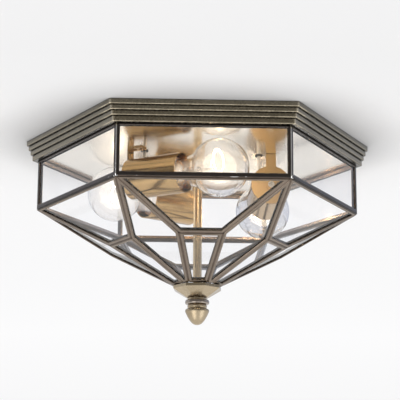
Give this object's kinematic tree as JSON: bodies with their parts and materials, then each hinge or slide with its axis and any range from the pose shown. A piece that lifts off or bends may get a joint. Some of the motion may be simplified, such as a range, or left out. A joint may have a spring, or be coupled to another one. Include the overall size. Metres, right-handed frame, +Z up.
{
  "type": "ceiling light",
  "caption": "Hexagonal flush ceiling light: a stepped pan and mirror plate with lamps, under a glazed lantern of side, shoulder, kite and throat panes held by an acorn finial.",
  "frame": {"origin": "centre of the ceiling face, halfway between the two ceiling screws, on the ceiling plane", "axes": "+Z up into the ceiling, +X along the strap through two corners of the hexagon, -Y towards the flat side that the picture shows from the front"},
  "size_m": [0.3694, 0.3204, 0.1971],
  "materials": {
    "antique_brass": "aged satin",
    "came_metal": "dark antique satin",
    "aged_brass": "satin",
    "mirror_plate": "polished",
    "zinc_steel": "zinc plated",
    "white_plastic": "matte",
    "lead_sheath": "smooth",
    "black_rubber": "matte",
    "socket_plastic": "moulded",
    "contact_brass": "bright",
    "cap_metal": "bright",
    "bulb_glass": "clear",
    "filament_wire": "drawn",
    "pane_glass": "clear"
  },
  "bodies": {
    "fixture": {"ceiling_pan": "antique_brass", "reflector_plate": "mirror_plate", "ceiling_strap": "zinc_steel", "threaded_rod": "zinc_steel", "rod_nuts": "zinc_steel", "rod_washers": "zinc_steel", "centre_tube": "aged_brass", "terminal_block": "white_plastic", "terminal_screws": "zinc_steel", "earth_post": "aged_brass", "lamp_leads": "lead_sheath", "plate_grommets": "black_rubber", "holder_bracket_1": "aged_brass", "lamp_sleeve_1": "aged_brass", "lamp_socket_1": "socket_plastic", "holder_bracket_2": "aged_brass", "lamp_sleeve_2": "aged_brass", "lamp_socket_2": "socket_plastic", "holder_bracket_3": "aged_brass", "lamp_sleeve_3": "aged_brass", "lamp_socket_3": "socket_plastic", "socket_contacts": "contact_brass", "holder_screws": "zinc_steel", "bracket_rivets": "aged_brass"},
    "contact_1": {"bulb_contact_1": "contact_brass"},
    "bulb_1": {"bulb_cap_1": "cap_metal", "bulb_glass_1": "bulb_glass", "bulb_filament_1": "filament_wire"},
    "contact_2": {"bulb_contact_2": "contact_brass"},
    "bulb_2": {"bulb_cap_2": "cap_metal", "bulb_glass_2": "bulb_glass", "bulb_filament_2": "filament_wire"},
    "contact_3": {"bulb_contact_3": "contact_brass"},
    "bulb_3": {"bulb_cap_3": "cap_metal", "bulb_glass_3": "bulb_glass", "bulb_filament_3": "filament_wire"},
    "cage": {"side_frame_1": "came_metal", "side_frame_2": "came_metal", "side_frame_3": "came_metal", "side_frame_4": "came_metal", "side_frame_5": "came_metal", "side_frame_6": "came_metal", "shoulder_frame_1": "came_metal", "shoulder_frame_2": "came_metal", "shoulder_frame_3": "came_metal", "shoulder_frame_4": "came_metal", "shoulder_frame_5": "came_metal", "shoulder_frame_6": "came_metal", "kite_frames": "came_metal", "throat_frames": "came_metal", "side_glass": "pane_glass", "shoulder_glass": "pane_glass", "kite_glass": "pane_glass", "throat_glass": "pane_glass", "hub_cap": "antique_brass"},
    "finial_collar": {"finial_washer": "antique_brass"},
    "finial": {"finial_acorn": "antique_brass"}
  },
  "joints": [
    {"name": "cage_lower", "type": "slide", "parent": "fixture", "child": "cage", "axis": [0, 0, -1], "range_m": [0, 0.15]},
    {"name": "finial_travel", "type": "slide", "parent": "cage", "child": "finial_collar", "axis": [0, 0, -1], "range_m": [0, 0.014]},
    {"name": "finial_turn", "type": "hinge", "parent": "finial_collar", "child": "finial", "pos_m": [0, 0, -0.18], "axis": [0, 0, -1], "range_deg": [0, 5040]},
    {"name": "bulb_travel_1", "type": "slide", "parent": "fixture", "child": "contact_1", "axis": [0.8677, -0.4969, 0.0105], "range_m": [0, 0.01452]},
    {"name": "bulb_turn_1", "type": "hinge", "parent": "contact_1", "child": "bulb_1", "pos_m": [-0.0714, -0.04761, -0.0526], "axis": [0.8677, -0.4969, 0.0105], "range_deg": [0, 1440]},
    {"name": "bulb_travel_2", "type": "slide", "parent": "fixture", "child": "contact_2", "axis": [-0.8141, -0.5807, -0.0105], "range_m": [0, 0.01452]},
    {"name": "bulb_turn_2", "type": "hinge", "parent": "contact_2", "child": "bulb_2", "pos_m": [-0.00477, 0.08418, -0.0492], "axis": [-0.8141, -0.5807, -0.0105], "range_deg": [0, 1440]},
    {"name": "bulb_travel_3", "type": "slide", "parent": "fixture", "child": "contact_3", "axis": [-0.0035, 0.9987, -0.0506], "range_m": [0, 0.01452]},
    {"name": "bulb_turn_3", "type": "hinge", "parent": "contact_3", "child": "bulb_3", "pos_m": [0.07573, -0.03784, -0.0532], "axis": [-0.0035, 0.9987, -0.0506], "range_deg": [0, 1440]}
  ],
  "couplings": [
    {"joint": "finial_travel", "follows": "finial_turn", "m_per_rad": 0.00015915},
    {"joint": "bulb_travel_1", "follows": "bulb_turn_1", "m_per_rad": 0.00057757},
    {"joint": "bulb_travel_2", "follows": "bulb_turn_2", "m_per_rad": 0.00057757},
    {"joint": "bulb_travel_3", "follows": "bulb_turn_3", "m_per_rad": 0.00057757}
  ]
}
